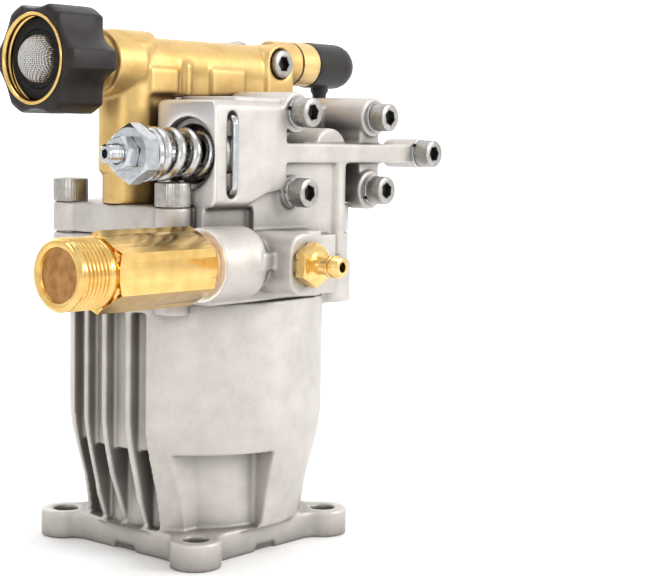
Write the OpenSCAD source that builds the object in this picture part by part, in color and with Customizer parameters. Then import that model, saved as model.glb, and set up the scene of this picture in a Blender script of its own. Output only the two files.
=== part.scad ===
// Axial-cam pressure washer pump with a bolt-on discharge manifold, a brass inlet manifold,
// an adjustable unloader, a detergent injector and a thermal relief valve.
// Origin: centre of the mounting flange's face, on the shaft axis. +Z runs up the shaft.
// -X is the hose side (inlet swivel, unloader spring, outlet), -Y the side with the cap screws.

/* [Mounting flange] */
// Pitch circle of the four mounting holes
flange_pcd = 92.08; // [88:0.02:98]
// Mounting hole diameter
lug_hole_d = 8.8; // [7:0.2:9.6]
// Radius of each corner lug
lug_r = 8.6; // [7.5:0.1:10]
// Thickness of the flange and its lugs
lug_h = 9.5; // [8:0.5:12]
// Half width of the square between the lugs
web_half = 34.5; // [33:0.5:36]

/* [Crankcase housing] */
// Outer radius of the round housing
bell_r = 44.6; // [44:0.2:48]
// Height of the parting face between housing and cylinder block
housing_h = 88; // [86:1:96]
// Radius of the oil chamber
cavity_r = 36.4; // [35.5:0.2:37]
// Depth of the channels between the cooling fins
fin_depth = 4.4; // [3:0.2:5]
// Distance from one fin to the next
fin_pitch = 10.2; // [9:0.2:12]
// Thickness of a fin
fin_t = 2.2; // [1.6:0.2:3]
// Radius of the bearing hub below the oil chamber
hub_r = 33.4; // [32:0.2:34.4]
// Height at which the outer wall starts to narrow towards the flange
taper_z = 38; // [36:1:44]

/* [Shaft and cam] */
// Bore that takes the engine shaft
shaft_bore_d = 19.05; // [15:0.05:20]
// Depth of the shaft bore
shaft_bore_l = 46; // [40:1:50]
// Outside diameter of the hollow shaft, the inside of its ball bearing
shaft_od = 30; // [28:1:31]
// Outside diameter of the ball bearing
bearing_od = 55; // [52:1:56]
// Width of the ball bearing
bearing_w = 13; // [12:1:16]
// Tilt of the swash plate in degrees
swash_tilt = 10; // [7:1:11]
// Radius of the swash plate
swash_r = 30.5; // [28:0.5:31]

/* [Plungers] */
// Distance of the plungers from the shaft axis
plunger_circle_r = 22; // [20:0.5:22.5]
// Plunger diameter
plunger_d = 14; // [12:1:15]
// Plunger length
plunger_l = 48; // [46:0.5:48]

/* [Pump head] */
// Top of the cylinder block, where the head plate sits
block_top = 109; // [107:0.5:113]
// Top of the head plate
plate_top = 119.4; // [118:0.2:120]
// Top of the valve block
core_top = 155.5; // [154.5:0.5:156]
// Distance of the head bolts from the shaft axis along X
head_bolt_x = 37.2; // [36.5:0.1:38]
// Distance of the head bolts from the shaft axis along Y
head_bolt_y = 25; // [24:0.5:26]
// Thread diameter of the head bolts
head_bolt_d = 8; // [6:1:8]

/* [Discharge manifold] */
// Height of the outlet axis
outlet_z = 101.4; // [100:0.2:103]
// Distance of the outlet axis in front of the shaft axis
outlet_y = 40.3; // [39.5:0.1:42]
// Radius of the round outlet boss
outlet_boss_r = 12.2; // [12:0.1:13]
// Distance of the cap screw seats in front of the shaft axis
seat_y = 38.2; // [37.5:0.1:39]
// Height of the unloader axis
unloader_z = 136.6; // [135.5:0.1:137.5]
// Distance of the unloader axis in front of the shaft axis
unloader_y = 25; // [24.6:0.1:25.4]
// Radius of the unloader bore
unloader_bore_r = 12; // [11.5:0.1:12.4]
// Thread diameter of the manifold cap screws
screw_d = 6; // [5:1:6]
// Lift of the unloader stem
unloader_lift = 4; // [3:0.5:5]

/* [Fittings] */
// Outside diameter of the outlet thread
outlet_thread_d = 22; // [20:0.5:22]
// Outlet fitting's hexagon across flats
outlet_hex_af = 22; // [21:0.5:23]
// Bore of the outlet fitting
outlet_bore_d = 16; // [13:0.5:16.5]
// Height of the inlet axis
inlet_z = 166; // [165:0.5:168]
// Inside diameter of the inlet swivel's thread
inlet_thread_d = 26.4; // [24:0.2:26.6]
// Outside radius of the inlet knob
knob_r = 18.3; // [17.6:0.1:20]
// Number of lobes on the inlet knob
knob_lobes = 6; // [5:1:9]
// Outside diameter of the detergent barb
barb_d = 7.4; // [6:0.2:8]

/* [Hidden] */

fit = 0.03;        // radial clearance of a running fit
seat = 0.1;        // gap between stacked castings where a joint face shows
lug_c = flange_pcd / 2 / sqrt(2);
fine = 96;
plunger_angles = [210, 90, 330];
bearing_z = 8;
bearing_top = bearing_z + bearing_w;
cavity_floor = taper_z + 2;
swash_z = 56;
cam_drop = tan(swash_tilt) * plunger_circle_r;
foot_r = plunger_d / 2;
foot_z = swash_z + cam_drop + foot_r / cos(swash_tilt) - foot_r + 0.4;
valve_x = [-10, 18.5, 32];
plug_x = [-10, 12, 34];
discharge_z = 128;
manifold_back = 10.6;
core_front = 10;
core_x0 = -21;
core_x1 = 57;
core_y1 = 17.6;
screw_head_r = 5;
screw_head_h = 6;
lock_washer_t = 1.4;
screws = [[8.8, 151.1], [7.6, 123.9], [51.3, 150.2], [50.2, 124.1], [78.5, 137.3]];
screw_boss_r = 7;
unloader_face = -30.8;
sleeve_x = -28;
sleeve_floor = -16;
collar_x = -51.5;
collar_t = 2;
nut_af = 17;
nut_t = 5.6;
lock_nut_af = 10;
lock_nut_t = 5;
stem_tip = -67.2;
clip_x = -23;
clip_wire_r = 1.1;
clip_leg = 12.2;
clip_y = seat_y + 1;
outlet_boss_x = -40;
outlet_washer_t = 1.8;
hex_back = outlet_boss_x - outlet_washer_t;
hex_front = -84.5;
outlet_tip = -99.4;
barb_x = -10;
barb_face = -60;
column_x = -34.5;
column_r = 9.4;
tube_r = 9.4;
knob_front = -75;
knob_back = -55;
stub_l = 34.9;
thermal_z = 169.8;
thermal_y = 1.5;
thermal_x = 58;

// ---- shared shapes -------------------------------------------------------------------
// Places a shape that is drawn along +Z so that it runs along -X, +X or -Y from a point
module along_minus_x(p) translate(p) rotate([0, -90, 0]) children();
module along_x(p) translate(p) rotate([0, 90, 0]) children();
module along_minus_y(p) translate(p) rotate([90, 0, 0]) children();
module ring(r1, r0, h) difference() {
  cylinder(r = r1, h = h, $fn = fine);
  translate([0, 0, -1]) cylinder(r = r0, h = h + 2, $fn = fine);
}
module hex_bar(af, h) cylinder(d = af / cos(30), h = h, $fn = 6);
module each_corner(x, y) for (sx = [-1, 1], sy = [-1, 1]) translate([sx * x, sy * y, 0]) children();
module each_plunger() for (a = plunger_angles)
  translate([plunger_circle_r * cos(a), plunger_circle_r * sin(a), 0]) children();
// Cap screw with its head's underside at the origin, shank down
module cap_screw(d, head_r, head_h, l) difference() {
  union() {
    cylinder(r = head_r, h = head_h - 0.5, $fn = 64);
    translate([0, 0, head_h - 0.5]) cylinder(r1 = head_r, r2 = head_r - 0.5, h = 0.5, $fn = 64);
    translate([0, 0, -l]) cylinder(d = d, h = l + 0.1, $fn = 48);
  }
  translate([0, 0, head_h - d * 0.5]) hex_bar(d * 0.82, d);
}
module rounded_bar(w, h, r, l) linear_extrude(l) union() {
  translate([-w / 2 + r, -h / 2]) square([w - 2 * r, h]);
  translate([-w / 2, -h / 2 + r]) square([w, h - 2 * r]);
  for (sx = [-1, 1], sy = [-1, 1])
    translate([sx * (w / 2 - r), sy * (h / 2 - r)]) circle(r = r, $fn = 48);
}

// ---- housing ---------------------------------------------------------------------------
fillet_r = 6;
fillet_dy = web_half + fillet_r - lug_c;
fillet_dx = sqrt(pow(lug_r + fillet_r, 2) - fillet_dy * fillet_dy);
// Concave corner between a lug and the straight side at y = web_half
module lug_fillet() difference() {
  polygon([[lug_c - fillet_dx, web_half - 3], [lug_c, web_half - 3],
    [lug_c - lug_r * fillet_dx / (lug_r + fillet_r), lug_c + lug_r * fillet_dy / (lug_r + fillet_r)],
    [lug_c - fillet_dx, web_half + fillet_r]]);
  translate([lug_c - fillet_dx, web_half + fillet_r]) circle(r = fillet_r, $fn = 64);
}
notch_w = 10;
notch_h = 2.2;
module flange_plate() difference() {
  linear_extrude(lug_h) union() {
    square(2 * web_half, center = true);
    each_corner(lug_c, lug_c) circle(r = lug_r, $fn = fine);
    for (a = [0:90:270], m = [0, 1]) rotate(a) mirror([m, 0]) lug_fillet();
  }
  for (a = [0:90:270]) rotate(a) translate([web_half - 8, -notch_w / 2, -1])
    cube([16, notch_w, notch_h + 1]);
}
post_r = 6;
wide_post_r = 11.4;
post_z0 = 84;
post_z1 = 98.4;
// Corner posts that take the head bolts: slim on the hose side, wide on the other
module corner_posts(z0, z1, grow = 0) for (sy = [-1, 1]) {
  translate([-head_bolt_x, sy * head_bolt_y, z0]) cylinder(r = post_r + grow, h = z1 - z0, $fn = 64);
  translate([head_bolt_x, sy * head_bolt_y, z0]) cylinder(r = wide_post_r + grow, h = z1 - z0, $fn = 64);
}
foot_r0 = bell_r - 7.2;
module bell_outline() rotate_extrude($fn = 180) polygon([[0, lug_h - 0.5], [foot_r0, lug_h - 0.5],
  [foot_r0 + 0.2, lug_h], [bell_r - 5, lug_h + 13], [bell_r - 2.4, taper_z - 5],
  [bell_r - 0.8, taper_z + 2], [bell_r, taper_z + 8], [bell_r, housing_h], [0, housing_h]]);
fin_side0 = 16.5;   // where the smooth wall starts, either side of the fins
fin_side1 = 20;
fin_foot_x = web_half - 0.5;
function channel_y0(k) = k == 0 ? -fin_side0 : (k - 2) * fin_pitch + fin_t / 2;
function channel_y1(k) = k == 3 ? fin_side1 : (k - 1) * fin_pitch - fin_t / 2;
// The four channels of one finned side, deeper below the oil chamber
module fin_channels() difference() {
  for (k = [0:3]) translate([-60, channel_y0(k), lug_h])
    cube([60, channel_y1(k) - channel_y0(k), housing_h - 4 - lug_h]);
  translate([0, 0, taper_z - 1]) cylinder(r = bell_r - fin_depth, h = 90, $fn = fine);
  cylinder(r = hub_r - 2, h = taper_z, $fn = fine);
}
// The fins' tips lean inwards towards the flange
module fin_lean() translate([0, fin_side1, 0]) rotate([90, 0, 0])
  linear_extrude(fin_side1 + window_y) polygon([[-60, lug_h], [-fin_foot_x, lug_h],
    [-bell_r - 0.2, taper_z], [-60, taper_z]]);
window_x = -5;
window_y = 23.8;
module housing() color([0.78, 0.75, 0.71]) difference() {
  union() {
    flange_plate();
    difference() {
      bell_outline();
      for (a = [0, 180]) rotate(a) {
        fin_channels();
        fin_lean();
        // window beside the bearing hub, above a mounting lug
        translate([-60, -60, lug_h]) cube([60 + window_x, 60 - window_y, taper_z - 1.5 - lug_h]);
      }
    }
    cylinder(r = hub_r, h = cavity_floor + 1, $fn = fine);
    corner_posts(post_z0, post_z1);
    // oil filler boss at the back
    translate([0, bell_r - 4, oil_plug_z]) rotate([-90, 0, 0]) cylinder(r = 10, h = 6.5, $fn = 64);
  }
  translate([0, 0, cavity_floor]) cylinder(r = cavity_r, h = 90, $fn = fine);
  translate([0, 0, bearing_top - 0.01]) cylinder(d = bearing_od - 5, h = 90, $fn = fine);
  translate([0, 0, bearing_z]) cylinder(d = bearing_od, h = bearing_w, $fn = fine);
  translate([0, 0, seal_z]) cylinder(r = shaft_seal_r, h = bearing_z, $fn = fine);
  translate([0, 0, -1]) cylinder(d = shaft_od + 3, h = 5, $fn = fine);
  translate([0, 0, housing_h - o_ring_t]) ring(cavity_r + 2.6, cavity_r + 1, 2 * o_ring_t);
  each_corner(lug_c, lug_c) translate([0, 0, -1]) cylinder(d = lug_hole_d, h = 30, $fn = 64);
  each_corner(head_bolt_x, head_bolt_y)
    translate([0, 0, post_z0 + 1.5]) cylinder(d = head_bolt_d, h = 40, $fn = 48);
  translate([0, 0, oil_plug_z]) rotate([-90, 0, 0]) cylinder(d = oil_plug_d, h = 80, $fn = 48);
}
oil_plug_d = 12;
oil_plug_z = 66;
oil_washer_t = 1.5;
module oil_plug() color([0.12, 0.12, 0.13]) translate([0, bell_r + 2.5 + oil_washer_t, oil_plug_z])
  rotate([-90, 0, 0]) difference() {
    union() {
      cylinder(r = 9.2, h = 5, $fn = 64);
      translate([0, 0, -11]) cylinder(d = oil_plug_d, h = 11.1, $fn = 48);
    }
    translate([0, 0, 2]) hex_bar(8, 5);
  }
module oil_plug_washer() color([0.15, 0.15, 0.15]) translate([0, bell_r + 2.5, oil_plug_z])
  rotate([-90, 0, 0]) ring(8.6, oil_plug_d / 2, oil_washer_t);

// ---- shaft, bearing and cam ------------------------------------------------------------
seal_z = 1.2;
shaft_seal_r = shaft_od / 2 + 6.5;
module shaft_oil_seal() color([0.15, 0.15, 0.16]) translate([0, 0, seal_z])
  ring(shaft_seal_r, shaft_od / 2 + fit, bearing_z - seal_z - seat);
ball_r = 3.6;
race_mid = (shaft_od + bearing_od) / 4;
module race_groove() rotate_extrude($fn = fine)
  translate([race_mid, bearing_z + bearing_w / 2]) circle(r = ball_r + fit, $fn = 48);
module bearing_outer_race() color([0.7, 0.7, 0.72]) difference() {
  translate([0, 0, bearing_z]) ring(bearing_od / 2, race_mid + 2.4, bearing_w);
  race_groove();
}
module bearing_inner_race() color([0.7, 0.7, 0.72]) difference() {
  translate([0, 0, bearing_z]) ring(race_mid - 2.4, shaft_od / 2, bearing_w);
  race_groove();
}
module bearing_balls() color([0.75, 0.75, 0.78]) for (a = [0:36:324]) rotate(a)
  translate([race_mid, 0, bearing_z + bearing_w / 2]) sphere(r = ball_r, $fn = 48);
keyway = 4.8;
module cam_shaft() color([0.6, 0.6, 0.62]) difference() {
  union() {
    cylinder(d = shaft_od, h = bearing_top + 1, $fn = fine);
    translate([0, 0, bearing_top]) cylinder(d = shaft_od + 4, h = 12, $fn = fine);
    difference() {
      translate([0, 0, bearing_top + 8]) cylinder(d = 2 * 24, h = 60, $fn = fine);
      tilted() translate([-60, -60, -9]) cube([120, 120, 90]);
    }
    tilted() translate([0, 0, -9.5]) cylinder(r = swash_r, h = 4.5, $fn = fine);
  }
  translate([0, 0, -1]) cylinder(d = shaft_bore_d, h = shaft_bore_l + 1, $fn = fine);
  translate([0, -keyway / 2, -1]) cube([shaft_bore_d / 2 + 1.9, keyway, shaft_bore_l - 5]);
}
// Frame of the swash plate's upper face
module tilted() translate([0, 0, swash_z]) rotate([0, -swash_tilt, 0]) children();
module thrust_ball_ring() color([0.75, 0.75, 0.78]) tilted() for (a = [0:30:330]) rotate(a)
  translate([24, 0, -3.8]) sphere(r = 1.2, $fn = 32);
module wobble_plate() color([0.66, 0.66, 0.68]) tilted()
  translate([0, 0, -2.6]) ring(swash_r, 12, 2.6);

// ---- plungers ----------------------------------------------------------------------------
module at_plunger(i) translate([plunger_circle_r * cos(plunger_angles[i]),
  plunger_circle_r * sin(plunger_angles[i]), 0]) children();
seat_z = foot_z + 9;
module plunger(i) color([0.85, 0.85, 0.86]) at_plunger(i) translate([0, 0, foot_z]) {
  rotate_extrude($fn = 64) intersection() {
    union() {
      translate([0, foot_r]) circle(r = foot_r, $fn = 96);
      translate([0, foot_r]) square([plunger_d / 2, plunger_l - foot_r]);
    }
    square([plunger_d, plunger_l]);
  }
}
module spring_seat(i) color([0.3, 0.3, 0.32]) at_plunger(i) translate([0, 0, seat_z])
  ring(plunger_d / 2 + 4.2, plunger_d / 2, 2.2);
module plunger_spring(i) color([0.55, 0.55, 0.57]) at_plunger(i) translate([0, 0, seat_z + 2.2])
  ring(plunger_d / 2 + 3.8, plunger_d / 2 + 1.4, housing_h - seat_z - 2.2 - seat);
module plunger_1() plunger(0);
module plunger_2() plunger(1);
module plunger_3() plunger(2);
module spring_seat_1() spring_seat(0);
module spring_seat_2() spring_seat(1);
module spring_seat_3() spring_seat(2);
module plunger_spring_1() plunger_spring(0);
module plunger_spring_2() plunger_spring(1);
module plunger_spring_3() plunger_spring(2);
seal_od = plunger_d + 7;
module plunger_oil_seals() color([0.2, 0.2, 0.22]) each_plunger()
  translate([0, 0, housing_h + 2]) ring(seal_od / 2, plunger_d / 2 + fit, 5);
module plunger_water_seals() color([0.1, 0.1, 0.3]) each_plunger()
  translate([0, 0, block_top - 7]) ring(seal_od / 2, plunger_d / 2 + fit, 7);
o_ring_t = 1.4;
module block_o_ring() color([0.08, 0.08, 0.08]) translate([0, 0, housing_h - o_ring_t])
  ring(cavity_r + 2.6, cavity_r + 1, o_ring_t);

// ---- cylinder block and head -----------------------------------------------------------
module block_outline(h) union() {
  cylinder(r = bell_r - 2.6, h = h, $fn = 180);
  for (sy = [-1, 1]) {
    translate([-head_bolt_x, sy * head_bolt_y, 0]) cylinder(r = post_r, h = h, $fn = 64);
    translate([head_bolt_x, sy * head_bolt_y, 0]) cylinder(r = wide_post_r - 1, h = h, $fn = 64);
    translate([-head_bolt_x - 3.2, sy * 14 - 11, 0]) cube([30, 22, h]);
    translate([head_bolt_x - 22, sy * 14 - 11, 0]) cube([30, 22, h]);
  }
}
front_cut = 29;
// Space in front of the block that the discharge manifold fills
module front_space(z0, z1) difference() {
  translate([-70, -80, z0]) cube([140, 80 - front_cut, z1 - z0]);
  corner_posts(z0 - 1, z1 + 1, seat);
}
module cylinder_block() color([0.78, 0.76, 0.72]) difference() {
  translate([0, 0, housing_h]) block_outline(block_top - housing_h);
  front_space(housing_h - 1, block_top + 1);
  corner_posts(housing_h - 1, post_z1, seat);
  each_plunger() {
    translate([0, 0, housing_h - 1]) cylinder(r = seal_od / 2, h = 8, $fn = 64);
    translate([0, 0, housing_h]) cylinder(r = plunger_d / 2 + fit, h = 60, $fn = 64);
    translate([0, 0, block_top - 7]) cylinder(r = seal_od / 2, h = 8, $fn = 64);
  }
  each_corner(head_bolt_x, head_bolt_y)
    translate([0, 0, post_z1 - 1]) cylinder(d = head_bolt_d + 0.6, h = 40, $fn = 48);
}
inlet_screw_x = 31.5;
inlet_screw_z = 168.8;
ear_x0 = inlet_screw_x - 9;
ear_x1 = inlet_screw_x + 9;
ear_y = 10;
rib_x = [1, 23, 45];
plug_r = 5.5;
drilling_y = [-4, 4, -4];
plug_z = 136;
module pump_head() color([0.8, 0.78, 0.75]) difference() {
  union() {
    difference() {
      translate([0, 0, block_top]) block_outline(plate_top - block_top);
      front_space(block_top - 1, plate_top + 1);
    }
    translate([core_x0, -core_front, plate_top - 1])
      cube([core_x1 - core_x0, core_front + core_y1, core_top - plate_top + 1]);
    translate([ear_x0, ear_y, core_top - 1])
      cube([ear_x1 - ear_x0, core_y1 - ear_y, inlet_screw_z - core_top + 1]);
    translate([inlet_screw_x, ear_y, inlet_screw_z]) rotate([-90, 0, 0])
      cylinder(r = (ear_x1 - ear_x0) / 2, h = core_y1 - ear_y, $fn = 64);
    for (x = plug_x) translate([x, core_y1 - 1, plug_z]) rotate([-90, 0, 0])
      cylinder(r = 8.2, h = 3, $fn = 64);
    for (x = rib_x) translate([x - 1.5, core_y1 - 1, plate_top - 0.5])
      cube([3, 3.4, core_top - plate_top - 2.5]);
  }
  for (x = plug_x) translate([x, core_y1 - 8, plug_z]) rotate([-90, 0, 0])
    cylinder(r = plug_r, h = 20, $fn = 48);
  each_plunger() translate([0, 0, block_top - 1]) cylinder(r = plunger_d / 2 + 0.6, h = 8.5, $fn = 64);
  for (x = valve_x) {
    translate([x, 0, core_top - 13]) cylinder(r = valve_r, h = 20, $fn = 64);
    translate([x, 0, discharge_z]) cylinder(r = 2.6, h = 20, $fn = 48);
    along_minus_y([x, -core_front + 13, discharge_z]) cylinder(r = valve_r, h = 20, $fn = 64);
  }
  for (i = [0:2]) {
    translate([valve_x[i], drilling_y[i], plate_top - 8])
      cylinder(r = 2.4, h = discharge_z - plate_top + 8, $fn = 48);
    // channel from the plunger's chamber to the foot of its drilling
    hull() {
      translate([valve_x[i], drilling_y[i], plate_top - 7.8]) cylinder(r = 2.3, h = 4.5, $fn = 48);
      at_plunger(i) translate([0, 0, plate_top - 7.8]) cylinder(r = 2.3, h = 4.5, $fn = 48);
    }
  }
  each_corner(head_bolt_x, head_bolt_y)
    translate([0, 0, block_top - 1]) cylinder(d = head_bolt_d + 0.6, h = 30, $fn = 48);
  for (k = [0:3])
    along_minus_y([screws[k][0], 6, screws[k][1]]) cylinder(d = screw_d, h = 40, $fn = 48);
  along_minus_y([inlet_screw_x, 24, inlet_screw_z]) cylinder(d = screw_d, h = 40, $fn = 48);
}
valve_r = 6;
module gallery_plugs() color([0.7, 0.68, 0.64]) for (x = plug_x)
  translate([x, core_y1 + 2, plug_z]) rotate([-90, 0, 0]) union() {
    translate([0, 0, -8]) cylinder(r = plug_r, h = 8.1, $fn = 48);
    cylinder(r = 7.6, h = 1.2, $fn = 64);
    translate([0, 0, 1.1]) rotate(12) hex_bar(12, 4.5);
  }
module manifold_gasket() color([0.1, 0.1, 0.1]) difference() {
  translate([core_x0 + 0.5, -manifold_back, plate_top + 1])
    cube([core_x1 - core_x0 - 0.5, manifold_back - core_front, core_top - plate_top - 2]);
  for (k = [0:3])
    along_minus_y([screws[k][0], 0, screws[k][1]]) cylinder(d = screw_d + 0.6, h = 40, $fn = 48);
  for (x = valve_x) along_minus_y([x, 0, discharge_z]) cylinder(r = 4, h = 40, $fn = 48);
}
module head_bolts() color([0.62, 0.6, 0.57]) each_corner(head_bolt_x, head_bolt_y)
  translate([0, 0, plate_top]) cap_screw(head_bolt_d, 6, 8, plate_top - post_z0 - 2);

// ---- discharge manifold ----------------------------------------------------------------
arm_z0 = 133.8;
arm_z1 = 140.6;
hub_x = 31;
bypass_x = -1;
rise_x = 34.2;
rise_y = 34.2;
rise_r = 3.9;
stem_back = -3.1;
drill_x = 21;
outlet_boss_l = 19;
outlet_neck_r = 9.6;
front_wall_y = 36;
barb_block_w = 16.4;
barb_block_h = 20.4;
module outlet_boss() along_x([outlet_boss_x, -outlet_y, outlet_z]) union() {
  cylinder(r = outlet_boss_r, h = outlet_boss_l, $fn = fine);
  translate([0, 0, outlet_boss_l]) cylinder(r1 = outlet_boss_r, r2 = outlet_neck_r, h = 4, $fn = fine);
  cylinder(r = outlet_neck_r, h = outlet_boss_l + 30, $fn = fine);
}
// The block's lower edge rises towards the screw beside it
module block_slope() translate([0, -front_wall_y, 0]) rotate([90, 0, 0]) linear_extrude(10)
  polygon([[-17, 110], [-17, 119], [-6, 123.6], [4.1, 125.2], [4.1, 110]]);
module discharge_manifold() color([0.82, 0.8, 0.77]) difference() {
  union() {
    // unloader block
    difference() {
      translate([unloader_face, -(seat_y + manifold_back) / 2, (119 + 154.4) / 2]) rotate([0, 90, 0])
        rounded_bar(154.4 - 119, seat_y - manifold_back, 3, 34.8);
      block_slope();
    }
    translate([-19.7, -seat_y + 2, 150]) cube([24, seat_y - manifold_back - 2, 5.8]);
    // back plate behind the screws
    translate([0, -19.5, plate_top + 0.4]) cube([core_x1, 19.5 - manifold_back, 34]);
    for (k = [0:3]) along_minus_y([screws[k][0], -manifold_back, screws[k][1]])
      cylinder(r = k == 1 ? 5.6 : screw_boss_r, h = seat_y - manifold_back, $fn = 64);
    along_minus_y([screws[4][0], -24, screws[4][1]]) cylinder(r = 5.4, h = seat_y - 24, $fn = 64);
    along_minus_y([drill_x, -15, arm_z0]) cylinder(r = 4.8, h = 12, $fn = 48);
    // arm, its round hub and the column down to the outlet passage
    translate([0, -seat_y, arm_z0]) cube([screws[4][0] - 3, 9, arm_z1 - arm_z0]);
    along_minus_y([hub_x, -12, (arm_z0 + arm_z1) / 2]) cylinder(r = 8.8, h = 23, $fn = 64);
    translate([rise_x, -rise_y, outlet_z]) cylinder(r = rise_r, h = arm_z1 - outlet_z - 2, $fn = 64);
    translate([46, -front_wall_y, screws[3][1]]) cube([11.2, front_wall_y - manifold_back, 26]);
    // front wall down to the outlet passage
    translate([-10, -front_wall_y, outlet_z]) cube([40, front_wall_y - manifold_back - 14, 34]);
    translate([unloader_face, -33, outlet_z]) cube([24, 4, 22]);
    translate([-10, -35, 117]) cube([6, 10, 8]);
    // outlet passage, its boss and the wall that meets the cylinder block
    outlet_boss();
    translate([outlet_boss_x + 1, -43.4, 87]) cube([56, 43.4 - front_cut, 24]);
    translate([outlet_boss_x + 50, -40.6, 87]) cube([18, 40.6 - front_cut, 22]);
    along_minus_y([barb_x, -42, outlet_z]) rounded_bar(barb_block_w, barb_block_h, 6, -barb_face - 42);
    // casting mark stub beside the barb boss
    translate([barb_x - 13.5, -outlet_y - outlet_boss_r - 0.7, outlet_z - 1.4]) cube([5, 4, 5]);
  }
  // clearances to the housing, cylinder block, head and head bolts
  translate([-70, -80, 60]) cube([140, 160, housing_h - 60 + 0.2]);
  translate([-70, -front_cut, 60]) cube([140, 80, plate_top + seat - 60]);
  corner_posts(60, plate_top + seat, seat);
  each_corner(head_bolt_x, head_bolt_y) translate([0, 0, plate_top]) cylinder(r = 6.3, h = 9.5, $fn = 64);
  // unloader bore, clip slot and stem passage
  along_x([unloader_face - 1, -unloader_y, unloader_z]) cylinder(r = unloader_bore_r, h = 24, $fn = fine);
  along_x([unloader_face - 1, -unloader_y, unloader_z])
    cylinder(r = 8 + fit, h = stem_back + unloader_lift + 2.2 - unloader_face, $fn = fine);
  for (s = [-1, 1]) along_minus_y([clip_x, -seat_y + 2.6, unloader_z + s * clip_leg])
    cylinder(r = 2.2, h = 20, $fn = 48);
  translate([clip_x - 2.2, -60, unloader_z - clip_leg]) cube([4.4, 60 - seat_y + 2.6, 2 * clip_leg]);
  for (s = [-1, 1]) along_minus_y([clip_x, -14, unloader_z + s * clip_leg])
    cylinder(r = clip_wire_r + 0.2, h = 40, $fn = 32);
  // screws
  for (k = [0:3]) along_minus_y([screws[k][0], 0, screws[k][1]]) cylinder(d = screw_d + 0.5, h = 60, $fn = 48);
  along_minus_y([screws[4][0], -20, screws[4][1]]) cylinder(d = screw_d, h = 60, $fn = 48);
  for (k = [0:3]) along_minus_y([screws[k][0], -seat_y, screws[k][1]]) cylinder(r = 6.6, h = 20, $fn = 64);
  // outlet passage with the seat of the outlet fitting, and the injector port
  along_x([outlet_boss_x - 1, -outlet_y, outlet_z]) cylinder(r = 8.5, h = 17, $fn = fine);
  along_x([outlet_boss_x - 1, -outlet_y, outlet_z]) cylinder(r = 5, h = 48, $fn = fine);
  along_minus_y([barb_x, -outlet_y, outlet_z]) cylinder(r = 1.5, h = 40, $fn = 48);
  along_minus_y([barb_x, -50, outlet_z]) cylinder(r = 5, h = 40, $fn = 64);
  translate([drill_x, -32.4, outlet_z - 4]) cylinder(r = 2.2, h = arm_z0 - outlet_z + 6, $fn = 48);
  along_minus_y([drill_x, -manifold_back + 1, arm_z0]) cylinder(r = 2.4, h = 23, $fn = 48);
  along_x([4, -35, outlet_z - 2]) cylinder(r = 2.2, h = drill_x - 4, $fn = 48);
  // gallery in the joint face that collects the discharge valves' flow
  translate([valve_x[0] - 3, -manifold_back - 2.6, discharge_z])
    cube([valve_x[2] - valve_x[0] + 6, 4, 4.4]);
  translate([drill_x - 3, -manifold_back - 2.6, discharge_z]) cube([6, 4, arm_z0 - discharge_z + 2]);
  // bypass from the outlet passage up to the unloader
  translate([bypass_x, -33.4, outlet_z]) cylinder(r = 1.6, h = 33, $fn = 32);
  along_minus_y([bypass_x, -32.4, outlet_z]) cylinder(r = 1.7, h = 5, $fn = 32);
}
module screw_at(k, l) along_minus_y([screws[k][0], -seat_y - lock_washer_t, screws[k][1]])
  cap_screw(screw_d, screw_head_r, screw_head_h, l);
module manifold_screws() color([0.62, 0.6, 0.57]) {
  for (k = [0:3]) screw_at(k, 38);
  screw_at(4, 16);
}
module lock_washers() color([0.72, 0.72, 0.72]) for (s = screws)
  along_minus_y([s[0], -seat_y, s[1]]) difference() {
    ring(screw_head_r + 0.2, screw_d / 2, lock_washer_t);
    rotate(40) translate([0, -0.4, -1]) cube([10, 0.8, 5]);
  }

// ---- valves ------------------------------------------------------------------------------
module valve_seat_ring() ring(valve_r, 3, 3);
module poppet() {
  cylinder(r = 4.2, h = 1.6, $fn = 48);
  translate([0, 0, 1.5]) cylinder(r = 1.6, h = 4.5, $fn = 32);
}
module suction_at(i) translate([valve_x[i], 0, core_top]) rotate([180, 0, 0]) children();
module discharge_at(i) along_minus_y([valve_x[i], -core_front + 13, discharge_z]) children();
module suction_valve_seats() color([0.55, 0.55, 0.57]) for (i = [0:2]) suction_at(i) union() {
  valve_seat_ring();
  translate([0, 0, 2.9]) ring(valve_r, 4.8, 9.8);
}
module discharge_valve_seats() color([0.55, 0.55, 0.57]) for (i = [0:2]) discharge_at(i) union() {
  valve_seat_ring();
  translate([0, 0, 2.9]) ring(valve_r, 4.8, 9.8);
}
module suction_poppet(i) color([0.85, 0.6, 0.25]) suction_at(i) translate([0, 0, 3.1]) poppet();
module discharge_poppet(i) color([0.85, 0.6, 0.25]) discharge_at(i) translate([0, 0, 3.1]) poppet();
module suction_poppet_1() suction_poppet(0);
module suction_poppet_2() suction_poppet(1);
module suction_poppet_3() suction_poppet(2);
module discharge_poppet_1() discharge_poppet(0);
module discharge_poppet_2() discharge_poppet(1);
module discharge_poppet_3() discharge_poppet(2);

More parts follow.
